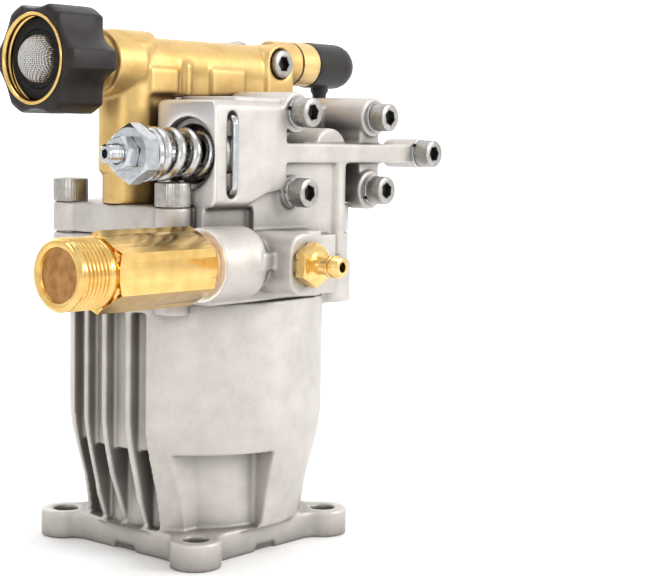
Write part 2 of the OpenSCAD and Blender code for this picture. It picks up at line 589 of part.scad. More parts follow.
// ---- unloader ----------------------------------------------------------------------------
module on_unloader(x) along_x([x, -unloader_y, unloader_z]) children();
module unloader_sleeve() color([0.5, 0.5, 0.52]) difference() {
  on_unloader(sleeve_x) cylinder(r = unloader_bore_r, h = sleeve_floor + 7 - sleeve_x, $fn = fine);
  on_unloader(sleeve_x - 1) cylinder(r = 9.7, h = sleeve_floor - sleeve_x + 1, $fn = fine);
  on_unloader(sleeve_x - 1) cylinder(r = 3 + fit, h = 60, $fn = 64);
  on_unloader(clip_x - clip_wire_r - 0.2) ring(unloader_bore_r + 1, clip_leg - clip_wire_r - 0.1,
    2 * clip_wire_r + 0.4);
}
module unloader_stem() color([0.65, 0.65, 0.67]) difference() {
  union() {
    on_unloader(stem_tip) cylinder(r = 3, h = stem_back - stem_tip - 0.1, $fn = 64);
    on_unloader(-8.6) cylinder(r = 8, h = stem_back + 8.6, $fn = 64);
  }
  on_unloader(stem_tip - 1) cylinder(r = 1.35, h = 6, $fn = 48);
}
module unloader_spring() color([0.8, 0.8, 0.8]) on_unloader(collar_x + collar_t + 0.05)
  ring(8.75, 5.9, sleeve_floor - collar_x - collar_t - 0.1);
module unloader_collar() color([0.9, 0.9, 0.9]) on_unloader(collar_x) union() {
  ring(9, 3.02, collar_t);
  ring(5.6, 3.02, collar_t + 3);
}
module adjusting_nut() color([0.85, 0.85, 0.86]) on_unloader(collar_x - nut_t - 0.05) difference() {
  hex_bar(nut_af, nut_t);
  translate([0, 0, -1]) cylinder(r = 3.02, h = 20, $fn = 48);
}
module lock_nut() color([0.8, 0.8, 0.82]) on_unloader(collar_x - nut_t - lock_nut_t - 0.1) difference() {
  rotate(14) hex_bar(lock_nut_af, lock_nut_t);
  translate([0, 0, -1]) cylinder(r = 3.02, h = 20, $fn = 48);
}
module retaining_clip() color([0.75, 0.72, 0.66]) {
  for (s = [-1, 1]) along_minus_y([clip_x, -14.5, unloader_z + s * clip_leg])
    cylinder(r = clip_wire_r, h = clip_y - 14.5, $fn = 32);
  translate([clip_x, -clip_y, unloader_z - clip_leg]) cylinder(r = clip_wire_r, h = 2 * clip_leg, $fn = 32);
  for (s = [-1, 1]) translate([clip_x, -clip_y, unloader_z + s * clip_leg]) sphere(r = clip_wire_r, $fn = 32);
}

// ---- outlet ------------------------------------------------------------------------------
module on_outlet(x) along_x([x, -outlet_y, outlet_z]) children();
module outlet_fitting() color([0.85, 0.68, 0.3]) difference() {
  union() {
    on_outlet(outlet_tip) cylinder(d1 = outlet_thread_d - 1.6, d2 = outlet_thread_d, h = 0.8, $fn = fine);
    on_outlet(outlet_tip + 0.8) cylinder(d = outlet_thread_d, h = hex_front - outlet_tip - 2, $fn = fine);
    on_outlet(outlet_tip + 1) cylinder(d = outlet_thread_d - 2, h = hex_front - outlet_tip, $fn = fine);
    on_outlet(hex_front) intersection() {
      hex_bar(outlet_hex_af, hex_back - hex_front);
      rotate_extrude($fn = fine) polygon([[0, 0], [outlet_hex_af / 2, 0],
        [outlet_hex_af / 2 + 2, 1.6], [outlet_hex_af / 2 + 2, hex_back - hex_front - 3.4],
        [outlet_hex_af / 2 - 0.6, hex_back - hex_front], [0, hex_back - hex_front]]);
    }
    on_outlet(hex_back - 0.1) cylinder(r = 8.5 - fit, h = outlet_washer_t + 12, $fn = fine);
  }
  on_outlet(outlet_tip - 1) cylinder(d = outlet_bore_d, h = 19, $fn = fine);
  on_outlet(outlet_tip + 17.9) cylinder(d1 = outlet_bore_d, d2 = 10, h = 3, $fn = fine);
  on_outlet(outlet_tip) cylinder(d = 10, h = 80, $fn = fine);
}
module outlet_washer() color([0.7, 0.6, 0.4]) on_outlet(hex_back) ring(9.8, 8.5, outlet_washer_t);
module injector_venturi() color([0.8, 0.64, 0.28]) difference() {
  on_outlet(-26) cylinder(r = 5 - fit, h = 24, $fn = 64);
  on_outlet(-27) cylinder(r1 = 4, r2 = 1.2, h = 12, $fn = 64);
  on_outlet(-16) cylinder(r = 1.2, h = 8, $fn = 48);
  on_outlet(-9) cylinder(r1 = 1.2, r2 = 3.6, h = 9, $fn = 64);
  along_minus_y([barb_x, -outlet_y, outlet_z]) cylinder(r = 1.5, h = 10, $fn = 48);
}
module barb_fitting() color([0.85, 0.68, 0.3]) difference() {
  union() {
    along_minus_y([barb_x, barb_face, outlet_z]) intersection() {
      rotate(30) hex_bar(13, 4.6);
      rotate_extrude($fn = fine) polygon([[0, 0], [7.6, 0], [7.6, 3.2], [6.2, 4.6], [0, 4.6]]);
    }
    along_minus_y([barb_x, barb_face + 8, outlet_z]) cylinder(r = 5 - fit, h = 8.1, $fn = 64);
    along_minus_y([barb_x, barb_face - 4.5, outlet_z]) rotate_extrude($fn = 64) polygon([[0, 0],
      [2.7, 0], [2.7, 5.2], [barb_d / 2 - 0.4, 6], [barb_d / 2, 7], [barb_d / 2, 8.6],
      [barb_d / 2 - 0.9, 10.5], [0, 10.5]]);
  }
  along_minus_y([barb_x, barb_face + 9, outlet_z]) cylinder(r = 1.6, h = 40, $fn = 48);
  along_minus_y([barb_x, barb_face + 9, outlet_z]) cylinder(r = 3.2, h = 6, $fn = 48);
}
module injector_ball() color([0.7, 0.7, 0.72]) translate([barb_x, barb_face + 5, outlet_z])
  sphere(r = 2, $fn = 48);

// ---- inlet manifold ----------------------------------------------------------------------
module inlet_manifold() color([0.83, 0.68, 0.35]) difference() {
  union() {
    translate([column_x, 0, plate_top]) cylinder(r = column_r - 1.4, h = 14, $fn = fine);
    translate([column_x, 0, 130]) cylinder(r = column_r, h = inlet_z - 130, $fn = fine);
    translate([column_x, 0, inlet_z]) intersection() {
      along_x([-20, 0, 0]) cylinder(r = 11.4, h = 40, $fn = fine);
      translate([0, 0, -20]) cylinder(r = column_r, h = 40, $fn = fine);
    }
    translate([column_x, -8.6, plate_top]) cube([core_x0 - column_x - 0.2, 17.2, core_top - plate_top + 8]);
    translate([column_x, -9, core_top + seat]) cube([38 - column_x, 18, inlet_z - core_top]);
    along_x([column_x, 0, inlet_z]) cylinder(r = tube_r, h = 38 - column_x, $fn = fine);
    // raised pads, the rib between them and the screw post
    translate([-33, -10.4, core_top + 0.8]) cube([13, 3, inlet_z - 1.2 - core_top - 0.8]);
    translate([-4, -10.4, core_top + 0.8]) cube([17, 3, inlet_z - 0.4 - core_top - 0.8]);
    translate([-15.8, -9, core_top + seat]) cylinder(r = 2.2, h = inlet_z - core_top + 1, $fn = 48);
    translate([inlet_screw_x - 7.2, -10.4, core_top + seat]) cube([14.4, 20, inlet_screw_z - core_top]);
    along_minus_y([inlet_screw_x, 9.6, inlet_screw_z]) cylinder(r = 7.2, h = 20, $fn = 64);
    // stub that carries the swivel
    along_minus_x([column_x, 0, inlet_z]) cylinder(r = 9, h = stub_l, $fn = fine);
    along_minus_x([column_x, 0, inlet_z]) cylinder(r = 11, h = 13, $fn = fine);
    along_minus_x([column_x - stub_l + 0.1, 0, inlet_z]) cylinder(r = 10.4, h = 2.1, $fn = fine);
    // thermal valve socket
    along_x([37, thermal_y, thermal_z]) cylinder(r = 8.1, h = 12, $fn = 64);
  }
  along_minus_x([inlet_screw_x - 12, 0, inlet_z]) cylinder(r = 6.5, h = 140, $fn = fine);
  translate([column_x, 0, plate_top - 1]) cylinder(r = 5, h = inlet_z - plate_top, $fn = 64);
  for (x = valve_x) translate([x, 0, core_top]) cylinder(r = 3, h = 6, $fn = 48);
  // feed of the last valve, under the screw, and the relief valve's drilling
  along_x([10, 0, core_top + 5]) cylinder(r = 3, h = valve_x[2] - 10, $fn = 48);
  along_x([inlet_screw_x - 2, thermal_y, core_top + 8.6]) cylinder(r = 1.1, h = 10, $fn = 32);
  along_minus_y([inlet_screw_x, 30, inlet_screw_z]) cylinder(d = screw_d + 0.5, h = 60, $fn = 48);
  along_minus_y([inlet_screw_x, -6, inlet_screw_z]) cylinder(r = 5.4, h = 20, $fn = 64);
  along_x([38, thermal_y, thermal_z]) cylinder(r = 5.5, h = 30, $fn = 64);
  translate([ear_x0 - 0.3, 9.8, core_top - 5]) cube([ear_x1 - ear_x0 + 0.6, 20, 60]);
}
module inlet_manifold_screw() color([0.62, 0.6, 0.57]) along_minus_y([inlet_screw_x, -6, inlet_screw_z])
  cap_screw(screw_d, screw_head_r, screw_head_h, core_y1 + 4.5);
module inlet_knob() color([0.14, 0.12, 0.11]) difference() {
  along_x([knob_front, 0, inlet_z]) intersection() {
    union() {
      cylinder(r = knob_r - 2.2, h = knob_back - knob_front, $fn = fine);
      for (k = [0:knob_lobes - 1]) rotate((k + 0.5) * 360 / knob_lobes)
        translate([knob_r - 5.2, 0, 0]) cylinder(r = 5.2, h = knob_back - knob_front, $fn = 48);
    }
    rotate_extrude($fn = fine) polygon([[0, 0], [knob_r - 1, 0], [knob_r, 1.2], [knob_r, 12],
      [knob_r - 4.2, knob_back - knob_front], [0, knob_back - knob_front]]);
  }
  along_x([knob_front - 1, 0, inlet_z]) cylinder(r = insert_r, h = 17, $fn = fine);
  along_x([knob_front, 0, inlet_z]) cylinder(r = 11.3, h = 40, $fn = fine);
}
insert_r = 14.6;
module inlet_insert() color([0.85, 0.68, 0.3]) along_x([knob_front - 0.6, 0, inlet_z]) difference() {
  cylinder(r = insert_r - fit, h = 16.6, $fn = fine);
  translate([0, 0, -1]) cylinder(d = inlet_thread_d, h = 14, $fn = fine);
  cylinder(r = 9 + 0.3, h = 40, $fn = fine);
}
washer_x = column_x - stub_l - 4.5;
module inlet_washer() color([0.07, 0.07, 0.07]) along_x([washer_x, 0, inlet_z])
  ring(inlet_thread_d / 2 - 0.3, 9.5, 2.4);
module inlet_screen() color([0.72, 0.72, 0.7]) along_x([washer_x, 0, inlet_z]) difference() {
  union() {
    translate([0, 0, 0.2]) cylinder(r = 9.4, h = 1, $fn = fine);
    intersection() {
      translate([0, 0, 3]) sphere(r = 8.2, $fn = 64);
      translate([-20, -20, -9]) cube([40, 40, 9.4]);
    }
  }
  translate([0, 0, 3]) sphere(r = 7.6, $fn = 64);
}

// ---- thermal relief valve ----------------------------------------------------------------
module on_thermal(x) along_x([x, thermal_y, thermal_z]) children();
module thermal_valve_body() color([0.85, 0.7, 0.36]) difference() {
  union() {
    on_thermal(49.1) cylinder(r = 8.1, h = thermal_x - 49.1, $fn = 64);
    on_thermal(40) cylinder(r = 5.5 - fit, h = 10, $fn = 64);
    on_thermal(thermal_x - 0.1) cylinder(r = 6.4, h = 9, $fn = 64);
  }
  on_thermal(30) cylinder(r = 2.2, h = 60, $fn = 48);
  on_thermal(54) cylinder(r = 4 + fit, h = 30, $fn = 48);
}
module thermal_piston() color([0.6, 0.6, 0.62]) on_thermal(54.3) union() {
  cylinder(r = 4, h = 3, $fn = 48);
  translate([0, 0, 2.9]) cylinder(r = 2, h = 7, $fn = 48);
}
module thermal_valve_cap() color([0.17, 0.15, 0.14]) difference() {
  union() {
    on_thermal(thermal_x) cylinder(r = 8.5, h = 16, $fn = 64);
    on_thermal(thermal_x + 16) rotate_extrude($fn = 64) intersection() {
      circle(r = 8.5, $fn = 64);
      square(9);
    }
    translate([thermal_x + 9, thermal_y, thermal_z - 20]) cylinder(r = 2.6, h = 16, $fn = 48);
    translate([thermal_x + 9, thermal_y, thermal_z - 11]) cylinder(r = 3.4, h = 5, $fn = 48);
  }
  on_thermal(thermal_x - 1) cylinder(r = 6.4, h = 10, $fn = 64);
  on_thermal(thermal_x) cylinder(r = 4.6, h = 14, $fn = 48);
  translate([thermal_x + 9, thermal_y, thermal_z - 21]) cylinder(r = 1.4, h = 20, $fn = 32);
}

housing();
cylinder_block();
pump_head();
manifold_gasket();
discharge_manifold();
inlet_manifold();
gallery_plugs();
shaft_oil_seal();
bearing_outer_race();
bearing_inner_race();
bearing_balls();
cam_shaft();
thrust_ball_ring();
wobble_plate();
plunger_1();
plunger_2();
plunger_3();
plunger_spring_1();
plunger_spring_2();
plunger_spring_3();
spring_seat_1();
spring_seat_2();
spring_seat_3();
plunger_oil_seals();
plunger_water_seals();
block_o_ring();
head_bolts();
manifold_screws();
lock_washers();
inlet_manifold_screw();
suction_valve_seats();
suction_poppet_1();
suction_poppet_2();
suction_poppet_3();
discharge_valve_seats();
discharge_poppet_1();
discharge_poppet_2();
discharge_poppet_3();
unloader_sleeve();
unloader_stem();
unloader_spring();
unloader_collar();
adjusting_nut();
lock_nut();
retaining_clip();
outlet_fitting();
outlet_washer();
injector_venturi();
barb_fitting();
injector_ball();
inlet_knob();
inlet_insert();
inlet_screen();
inlet_washer();
thermal_valve_body();
thermal_valve_cap();
thermal_piston();
oil_plug();
oil_plug_washer();
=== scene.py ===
import math
import bpy
import bmesh
import numpy as np
from mathutils import Matrix, Vector


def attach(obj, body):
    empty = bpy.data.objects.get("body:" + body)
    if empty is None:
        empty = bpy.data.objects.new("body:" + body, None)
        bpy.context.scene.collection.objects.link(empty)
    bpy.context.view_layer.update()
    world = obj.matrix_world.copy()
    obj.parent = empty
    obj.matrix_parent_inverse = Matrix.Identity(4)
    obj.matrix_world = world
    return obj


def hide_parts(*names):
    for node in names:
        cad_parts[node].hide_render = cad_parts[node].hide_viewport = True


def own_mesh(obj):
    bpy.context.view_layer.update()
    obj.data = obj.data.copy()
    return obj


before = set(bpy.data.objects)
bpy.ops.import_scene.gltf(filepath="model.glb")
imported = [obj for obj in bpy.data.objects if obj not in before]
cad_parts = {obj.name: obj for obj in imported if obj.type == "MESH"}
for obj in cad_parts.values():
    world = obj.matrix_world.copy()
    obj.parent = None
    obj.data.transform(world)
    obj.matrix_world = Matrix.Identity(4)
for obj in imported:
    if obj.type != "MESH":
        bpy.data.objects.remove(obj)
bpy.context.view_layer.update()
mm = 0.001
print("frame loaded:", len(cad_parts), "nodes")

# camera: where it stands round the pump, its tilt and its lens, in degrees and millimetres
cameraSet = {"around": -50.043, "above": 5.47, "distance": 569.1, "roll": -1.023,
             "aimAcross": 45.27, "aimHeight": 89.41, "lens": 88.75}


def placeCamera(c):
    around, above, roll = (math.radians(c[k]) for k in ("around", "above", "roll"))
    right = Vector((math.cos(around), math.sin(around), 0))
    back = Vector((math.sin(around) * math.cos(above), -math.cos(around) * math.cos(above), math.sin(above)))
    up = back.cross(right)
    spot = (right * c["aimAcross"] + Vector((0, 0, c["aimHeight"])) + back * c["distance"]) * mm
    across = right * math.cos(roll) - up * math.sin(roll)
    upward = right * math.sin(roll) + up * math.cos(roll)
    data = bpy.data.cameras.new("studioCamera")
    data.lens = c["lens"]
    data.sensor_width = 36
    data.clip_start, data.clip_end = 0.01, 20
    cam = bpy.data.objects.new("studioCamera", data)
    bpy.context.collection.objects.link(cam)
    turn = Matrix((across, upward, back)).transposed().to_4x4()
    cam.matrix_world = Matrix.Translation(spot) @ turn
    bpy.context.scene.camera = cam


placeCamera(cameraSet)


class Wire:
    # one socket of a material; arithmetic on it adds Math nodes
    def __init__(self, finish, socket):
        self.finish, self.socket = finish, socket

    def maths(self, kind, *values):
        return self.finish.add("ShaderNodeMath", {"operation": kind}, dict(enumerate(values)))

    def __add__(self, other): return self.maths("ADD", self, other)
    def __radd__(self, other): return self.maths("ADD", other, self)
    def __sub__(self, other): return self.maths("SUBTRACT", self, other)
    def __rsub__(self, other): return self.maths("SUBTRACT", other, self)
    def __mul__(self, other): return self.maths("MULTIPLY", self, other)
    def __rmul__(self, other): return self.maths("MULTIPLY", other, self)
    def __gt__(self, other): return self.maths("GREATER_THAN", self, other)
    def __lt__(self, other): return self.maths("LESS_THAN", self, other)
    def bigger(self, other): return self.maths("MAXIMUM", self, other)

    def ramp(self, low, high):
        # 0 below low, 1 above high, straight between
        return self.finish.add("ShaderNodeMapRange", {"clamp": True},
                               {"Value": self, "From Min": low, "From Max": high})


class Finish:
    # a procedural material with one Principled shader
    def __init__(self, name, **fixed):
        self.mat = bpy.data.materials.new(name)
        self.mat.use_nodes = True
        self.tree = self.mat.node_tree
        self.tree.nodes.clear()
        self.shader = self.tree.nodes.new("ShaderNodeBsdfPrincipled")
        end = self.tree.nodes.new("ShaderNodeOutputMaterial")
        self.tree.links.new(self.shader.outputs[0], end.inputs["Surface"])
        self.where = self.add("ShaderNodeTexCoord", {}, {}, "Object")
        self.set(**fixed)

    def add(self, kind, settings, values, out=0):
        node = self.tree.nodes.new(kind)
        for key, value in settings.items():
            setattr(node, key, value)
        for key, value in values.items():
            self.plug(node.inputs[key], value)
        return Wire(self, node.outputs[out])

    def plug(self, socket, value):
        if isinstance(value, Wire):
            self.tree.links.new(value.socket, socket)
        elif isinstance(value, (tuple, list)) and socket.type == "RGBA" and len(value) == 3:
            socket.default_value = (*value, 1)
        else:
            socket.default_value = value

    def set(self, **sockets):
        for key, value in sockets.items():
            self.plug(self.shader.inputs[key.replace("_", " ")], value)

    def noise(self, size, detail=3, rough=0.5):
        # size of one blotch in millimetres
        return self.add("ShaderNodeTexNoise", {}, {"Vector": self.where, "Scale": 1 / (size * mm),
                                                   "Detail": detail, "Roughness": rough})

    def mix(self, share, a, b):
        return self.add("ShaderNodeMix", {"data_type": "RGBA"}, {0: share, 6: a, 7: b}, 2)

    def axes(self):
        split = self.tree.nodes.new("ShaderNodeSeparateXYZ")
        self.tree.links.new(self.where.socket, split.inputs[0])
        return [Wire(self, out) for out in split.outputs]

    def facing(self):
        # the surface's own direction in the object's axes
        split = self.tree.nodes.new("ShaderNodeSeparateXYZ")
        source = self.tree.nodes.new("ShaderNodeNewGeometry")
        self.tree.links.new(source.outputs["True Normal"], split.inputs[0])
        return [Wire(self, out) for out in split.outputs]

    def crevice(self):
        source = self.tree.nodes.new("ShaderNodeNewGeometry")
        return Wire(self, source.outputs["Pointiness"])

    def bump(self, height, depth, strength=1.0):
        # depth in millimetres
        self.set(Normal=self.add("ShaderNodeBump", {}, {"Height": height, "Distance": depth * mm,
                                                        "Strength": strength}))


# crease is the near black colour of the painted shade in creases and recesses; shadowReach is how far the
# painted shade reaches, in millimetres
castSet = {"light": (0.6, 0.565, 0.53), "dark": (0.48, 0.45, 0.42), "crease": (0.1, 0.088, 0.078),
           "rough": 0.47, "metallic": 0.6, "grain": 0.55, "grainDepth": 0.05, "machined": (0.86, 0.84, 0.83),
           "shadowReach": 13}


def castFinish(name, c, machined=None):
    f = Finish(name)
    blotch = f.noise(9, 4, 0.6)
    fine = f.noise(1.3, 3, 0.6)
    tone = f.mix(blotch.ramp(0.32, 0.68), c["dark"], c["light"])
    tone = f.mix(fine.ramp(0.35, 0.7) * 0.35, tone, c["light"])
    # painted shade: creases and hollows, found by pointiness, darkened towards the crease colour where shade
    # falls
    crease = 1 - f.crevice().ramp(0.42, 0.5)
    tone = f.mix(crease * 0.75, tone, c["crease"])
    # painted shade: ambient occlusion darkens recesses and fin channels towards the crease colour
    openness = f.add("ShaderNodeAmbientOcclusion", {"samples": 8}, {"Distance": c["shadowReach"] * mm}, "AO")
    tone = f.mix((1 - openness.ramp(0.3, 0.9)) * 0.85, tone, c["crease"])
    edge = f.crevice().ramp(0.52, 0.6)
    tone = f.mix(edge * 0.3, tone, c["machined"])
    rough = c["rough"] + (blotch - 0.5) * 0.16 + (fine - 0.5) * 0.1
    height = f.noise(c["grain"], 2, 0.5) * 0.7 + f.noise(2.6, 2, 0.5) * 0.6
    if machined:
        mask = machined(f)
        tone = f.mix(mask, tone, c["machined"])
        rough = rough * (1 - mask) + mask * 0.3
        height = height * (1 - mask)
    f.set(Base_Color=tone, Metallic=c["metallic"], Roughness=rough)
    f.bump(height, c["grainDepth"])
    return f.mat


markScale = 4000  # tool marks a metre


def metalFinish(name, light, dark, rough, spread=0.08, blotch=3.0, lines=None, scratch=0.02):
    f = Finish(name, Metallic=1.0)
    patch = f.noise(blotch, 4, 0.6)
    fine = f.noise(0.35, 2, 0.5)
    tone = f.mix(patch.ramp(0.3, 0.7), dark, light)
    height = fine * 0.4
    if lines:
        # tool marks square to one axis
        x, y, z = f.axes()
        along = {"x": x, "y": y, "z": z}[lines]
        stretched = f.add("ShaderNodeCombineXYZ", {}, {0: along * markScale, 1: 0.0, 2: 0.0})
        turn = f.add("ShaderNodeTexNoise", {}, {"Vector": stretched, "Scale": 1.0, "Detail": 2})
        height = height + turn * 0.8
    f.set(Base_Color=tone, Roughness=rough + (patch - 0.5) * spread + (fine - 0.5) * spread)
    f.bump(height, scratch)
    return f.mat


def plasticFinish(name, light, dark, rough, grain, depth, shine):
    f = Finish(name, Specular_IOR_Level=shine)
    patch = f.noise(6, 3, 0.5)
    pits = f.noise(grain, 2, 0.6)
    f.set(Base_Color=f.mix(patch.ramp(0.3, 0.7), dark, light),
          Roughness=rough + (patch - 0.5) * 0.12 + (pits - 0.5) * 0.1)
    f.bump(pits, depth)
    return f.mat


def manifoldFaces(f):
    # milled faces of the front casting: the faces towards -X round the unloader bore and the outlet's seat
    x, y, z = f.axes()
    nx, ny, nz = f.facing()
    block = (x < -0.0302) * (nx < -0.8)
    outlet = (x < -0.0394) * (nx < -0.8)
    return block.bigger(outlet)


def headFaces(f):
    x, y, z = f.axes()
    nx, ny, nz = f.facing()
    return (nz > 0.92) * (z > 0.1545)


def flangeFaces(f):
    x, y, z = f.axes()
    nx, ny, nz = f.facing()
    return (nz < -0.9) * (z < 0.0006)


finishes = {
    "cast": castFinish("castAluminium", castSet, flangeFaces),
    "castFront": castFinish("castAluminiumFront", castSet, manifoldFaces),
    "castHead": castFinish("castAluminiumHead", castSet, headFaces),
    # the gold casting's crease colour is its painted shade in creases and recesses
    "goldCast": castFinish("castBrassGold", {**castSet, "light": (0.72, 0.5, 0.2), "dark": (0.56, 0.36, 0.12),
                           "crease": (0.2, 0.11, 0.035), "machined": (0.9, 0.74, 0.43), "rough": 0.42,
                           "metallic": 0.82, "grainDepth": 0.04}),
    "brass": metalFinish("turnedBrass", (0.86, 0.6, 0.23), (0.72, 0.45, 0.14), 0.17, 0.08, 5, "x",
                         scratch=0.008),
    "brassY": metalFinish("turnedBrassSmall", (0.86, 0.63, 0.27), (0.74, 0.48, 0.16), 0.22, 0.1, 3, "y"),
    # painted shade: darker brass inside the outlet's bore, where shade falls
    "brassBoreShade": metalFinish("brassBoreShade", (0.5, 0.27, 0.1), (0.3, 0.14, 0.045), 0.34, 0.12, 3, "x"),
    # painted shade: near black steel inside the hex sockets
    "socket": metalFinish("screwSocketShade", (0.12, 0.115, 0.11), (0.07, 0.066, 0.062), 0.5, 0.1, 1.5),
    "copper": metalFinish("softBrassWasher", (0.86, 0.6, 0.36), (0.7, 0.42, 0.22), 0.34, 0.12, 2),
    "zinc": metalFinish("zincPlate", (0.62, 0.64, 0.66), (0.46, 0.48, 0.5), 0.2, 0.14, 2.2),
    "spring": metalFinish("springWire", (0.6, 0.595, 0.58), (0.46, 0.45, 0.44), 0.27, 0.12, 1.6),
    "boltSteel": metalFinish("screwSteel", (0.47, 0.455, 0.43), (0.33, 0.315, 0.295), 0.34, 0.14, 1.8),
    "bore": metalFinish("boreSteel", (0.5, 0.49, 0.48), (0.34, 0.33, 0.32), 0.34, 0.14, 2, "x"),
    "ground": metalFinish("groundSteel", (0.7, 0.7, 0.7), (0.56, 0.56, 0.57), 0.22, 0.1, 3, "z"),
    "mesh": metalFinish("meshWire", (0.78, 0.77, 0.75), (0.6, 0.59, 0.58), 0.32, 0.1, 0.8),
    "knob": plasticFinish("knobPlastic", (0.017, 0.0125, 0.011), (0.008, 0.006, 0.0055), 0.4, 0.55, 0.09,
                          0.3),
    "cap": plasticFinish("capPlastic", (0.02, 0.016, 0.014), (0.011, 0.009, 0.008), 0.42, 0.45, 0.05, 0.3),
    "rubber": plasticFinish("blackRubber", (0.012, 0.012, 0.012), (0.007, 0.007, 0.007), 0.6, 0.3, 0.02,
                            0.2),
}
print("finishes made:", len(finishes))


def toMatrix(direction, at):
    # the shape's own +Z runs along direction from the point at, in millimetres
    turn = {"x": Matrix.Rotation(math.pi / 2, 4, "Y"), "-x": Matrix.Rotation(-math.pi / 2, 4, "Y"),
            "-y": Matrix.Rotation(math.pi / 2, 4, "X"), "y": Matrix.Rotation(-math.pi / 2, 4, "X"),
            "z": Matrix.Identity(4), "-z": Matrix.Rotation(math.pi, 4, "X")}[direction]
    return Matrix.Translation(Vector(at) * mm) @ turn @ Matrix.Scale(mm, 4)


def turned(bm, place, rings, steps=96, slotIndex=0):
    # rings of (radius, height) in millimetres; a radius or height may be a function of the angle
    rows = []
    for radius, height in rings:
        if radius == 0:
            h = height(0) if callable(height) else height
            rows.append([bm.verts.new(place @ Vector((0, 0, h)))])
            continue
        row = []
        for i in range(steps):
            a = 2 * math.pi * i / steps
            r = radius(a) if callable(radius) else radius
            h = height(a) if callable(height) else height
            row.append(bm.verts.new(place @ Vector((r * math.cos(a), r * math.sin(a), h))))
        rows.append(row)
    for low, high in zip(rows, rows[1:]):
        for i in range(steps):
            j = (i + 1) % steps
            corners = []
            for v in (low[i % len(low)], low[j % len(low)], high[j % len(high)], high[i % len(high)]):
                if v not in corners:
                    corners.append(v)
            if len(corners) > 2:
                face = bm.faces.new(corners)
                face.material_index = slotIndex
    return rows


def loopTurned(bm, place, rings, steps=96, slotIndex=0):
    # a closed section, so the last ring joins the first
    rows = turned(bm, place, rings, steps, slotIndex)
    for i in range(steps):
        j = (i + 1) % steps
        face = bm.faces.new((rows[-1][i], rows[-1][j], rows[0][j], rows[0][i]))
        face.material_index = slotIndex


def arcSwept(bm, place, section, gap, rise, steps=90):
    # a split ring: its section turned almost the whole way, one end higher than the other
    rows = []
    for i in range(steps + 1):
        a = gap + (2 * math.pi - 2 * gap) * i / steps
        lift = rise * (i / steps - 0.5)
        rows.append([bm.verts.new(place @ Vector((r * math.cos(a), r * math.sin(a), h + lift)))
                     for r, h in section])
    for low, high in zip(rows, rows[1:]):
        for i in range(len(section)):
            j = (i + 1) % len(section)
            bm.faces.new((low[i], low[j], high[j], high[i]))
    bm.faces.new(rows[0])
    bm.faces.new(rows[-1])


def tube(bm, points, radius, sides=12):
    points = [Vector(p) for p in points]
    count = len(points)
    rows, normal = [], None
    for k, p in enumerate(points):
        way = points[min(k + 1, count - 1)] - points[max(k - 1, 0)]
        way.normalize()
        if normal is None:
            normal = way.orthogonal().normalized()
        normal = (normal - way * normal.dot(way)).normalized()
        other = way.cross(normal)
        rows.append([bm.verts.new((p + (normal * math.cos(a) + other * math.sin(a)) * radius) * mm)
                     for a in (2 * math.pi * i / sides for i in range(sides))])
    for low, high in zip(rows, rows[1:]):
        for i in range(sides):
            j = (i + 1) % sides
            bm.faces.new((low[i], low[j], high[j], high[i]))
    bm.faces.new(rows[0])
    bm.faces.new(rows[-1])


def finishPiece(name, bm, materials, body, nodes, crease=38):
    bmesh.ops.remove_doubles(bm, verts=bm.verts, dist=1e-7)
    bmesh.ops.recalc_face_normals(bm, faces=bm.faces)
    mesh = bpy.data.meshes.new(name)
    bm.to_mesh(mesh)
    bm.free()
    mesh.shade_smooth()
    mesh.set_sharp_from_angle(angle=math.radians(crease))
    piece = bpy.data.objects.new(name, mesh)
    bpy.context.collection.objects.link(piece)
    for material in materials:
        mesh.materials.append(finishes[material])
    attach(piece, body)
    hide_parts(*nodes)
    print("piece", name, len(mesh.polygons), "faces")
    return piece


def hexRadius(flats, turn=0.0):
    # distance from the axis to a hexagon's edge at each angle
    return lambda a: flats / 2 / math.cos((a - turn) % (math.pi / 3) - math.pi / 6)


def ridges(radius, depth, pitch, at):
    # a screw thread's radius at one height
    def r(a):
        return radius - depth * (0.5 - 0.5 * math.cos(2 * math.pi * at / pitch - a))
    return r


def threadRings(radius, depth, pitch, z0, z1, perTurn=12):
    rings = []
    count = int((z1 - z0) / pitch * perTurn)
    for k in range(count + 1):
        z = z0 + (z1 - z0) * k / count
        fade = min(1, k / perTurn * 1.2, (count - k) / perTurn * 1.2)
        rings.append((ridges(radius, depth * fade, pitch, z), z))
    return rings


# cast pieces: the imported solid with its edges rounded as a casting's are
castings = {
    "housing": {"voxel": 0.6, "passes": 3, "keep": 0.35, "finish": "cast"},
    "cylinder_block": {"voxel": 0.7, "passes": 4, "keep": 0.5, "finish": "cast"},
    "pump_head": {"voxel": 0.7, "passes": 4, "keep": 0.5, "finish": "castHead",
                  "keepBores": [(22 * math.cos(math.radians(a)), 22 * math.sin(math.radians(a)), 9, 118)
                                for a in (210, 90, 330)]},
    "discharge_manifold": {"voxel": 0.5, "passes": 6, "keep": 0.5, "finish": "castFront"},
    "inlet_manifold": {"voxel": 0.6, "passes": 6, "keep": 0.5, "finish": "goldCast"},
}


def soften(mesh, passes, keepBores=(), factor=0.5):
    # keepBores: (x, y, radius, top) in millimetres; the walls a plunger runs in stay as they are
    count = len(mesh.vertices)
    co = np.zeros(count * 3)
    mesh.vertices.foreach_get("co", co)
    co = co.reshape(-1, 3)
    free = np.ones((count, 1))
    for x, y, radius, top in keepBores:
        inside = (np.hypot(co[:, 0] - x * mm, co[:, 1] - y * mm) < radius * mm) & (co[:, 2] < top * mm)
        free[inside] = 0
    edges = np.zeros(len(mesh.edges) * 2, int)
    mesh.edges.foreach_get("vertices", edges)
    a, b = edges.reshape(-1, 2).T
    ends, others = np.concatenate((a, b)), np.concatenate((b, a))
    links = np.maximum(np.bincount(ends, minlength=count), 1)
    for _ in range(passes):
        mean = np.stack([np.bincount(ends, co[others, k], count) for k in range(3)], 1) / links[:, None]
        co = co + factor * free * (mean - co)
    mesh.vertices.foreach_set("co", co.ravel())
    mesh.update()


